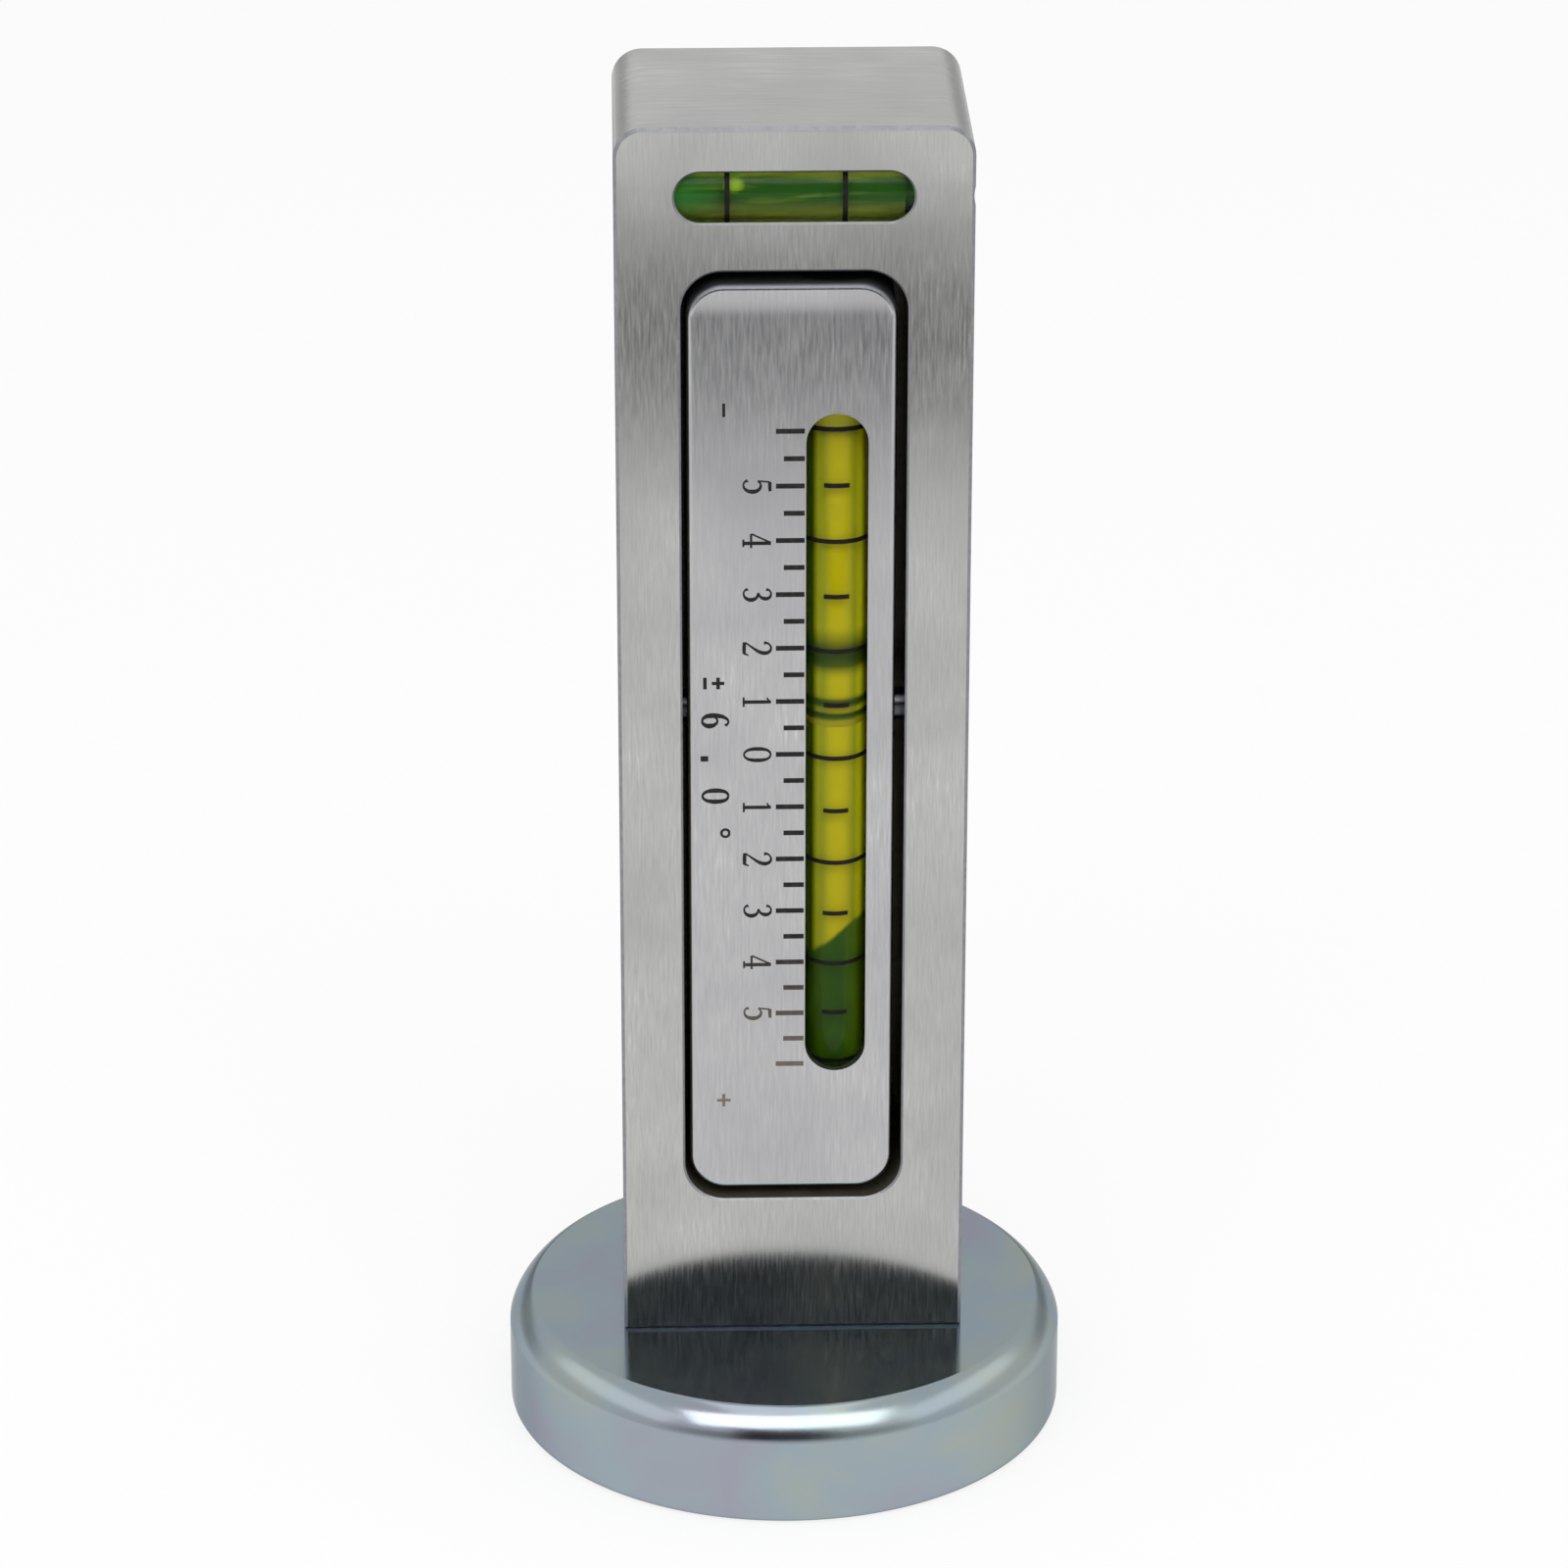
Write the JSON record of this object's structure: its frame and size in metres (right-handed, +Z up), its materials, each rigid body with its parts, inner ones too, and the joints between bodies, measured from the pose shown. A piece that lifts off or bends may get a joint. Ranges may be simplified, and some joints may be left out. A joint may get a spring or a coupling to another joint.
{
  "type": "camber caster gauge",
  "caption": "Upright metal bar on a round magnetic foot, with a tilting dial plate and bent spirit vial in its face and a short cross vial above.",
  "frame": {"origin": "middle of the magnet foot's lower face, where the gauge rests", "axes": "+Z up along the bar, from the foot to the head; -Y out of the dial; +X to the right of someone who reads the dial"},
  "size_m": [0.042, 0.042, 0.1033],
  "materials": {
    "zinc_plated_steel": "satin",
    "ferrite": "matte",
    "black_steel": "satin",
    "bar_aluminium": "brushed",
    "carrier_aluminium": "brushed",
    "pin_steel": "ground",
    "vial_acrylic": "polished",
    "plug_plastic": "moulded",
    "yellow_liquid": "clear",
    "green_liquid": "clear",
    "air": "clear",
    "plaster": "matte"
  },
  "bodies": {
    "bar": {"magnet_cup": "zinc_plated_steel", "magnet_ring": "ferrite", "foot_screw": "black_steel", "gauge_bar": "bar_aluminium", "pivot_pin": "pin_steel", "cross_tube": "vial_acrylic", "cross_plug_left": "plug_plastic", "cross_plug_right": "plug_plastic", "cross_liquid": "green_liquid", "cross_bore_plug": "bar_aluminium"},
    "carrier": {"vial_carrier": "carrier_aluminium", "carrier_bore_plug": "carrier_aluminium", "camber_tube": "vial_acrylic", "camber_plug_upper": "plug_plastic", "camber_plug_lower": "plug_plastic", "camber_liquid": "yellow_liquid", "camber_bedding": "plaster"},
    "upper_adjuster": {"adjuster_screw_upper": "black_steel"},
    "lower_adjuster": {"adjuster_screw_lower": "black_steel"},
    "camber_indicator": {"camber_bubble": "air"},
    "cross_indicator": {"cross_bubble": "air"}
  },
  "joints": [
    {"name": "carrier_tilt", "type": "hinge", "parent": "bar", "child": "carrier", "pos_m": [0.00045, 0.00199, 0.05624], "axis": [1, 0, 0], "range_deg": [-1.5, 1.5]},
    {"name": "upper_adjuster_travel", "type": "slide", "parent": "bar", "child": "upper_adjuster", "axis": [0, 1, 0], "range_m": [-0.00075, 0.00075]},
    {"name": "lower_adjuster_travel", "type": "slide", "parent": "bar", "child": "lower_adjuster", "axis": [0, 1, 0], "range_m": [-0.00075, 0.00075]},
    {"name": "camber_bubble_travel", "type": "hinge", "parent": "carrier", "child": "camber_indicator", "pos_m": [0.00354, 0.23327, 0.0559], "axis": [1, 0, 0], "range_deg": [-4.65, 7.35], "deforming": ["camber_liquid"]},
    {"name": "cross_bubble_travel", "type": "slide", "parent": "bar", "child": "cross_indicator", "axis": [1, 0, 0], "range_m": [-0.004, 0.004], "deforming": ["cross_liquid"]}
  ],
  "couplings": [
    {"joint": "upper_adjuster_travel", "follows": "carrier_tilt", "m_per_rad": -0.028},
    {"joint": "lower_adjuster_travel", "follows": "carrier_tilt", "m_per_rad": 0.028}
  ]
}
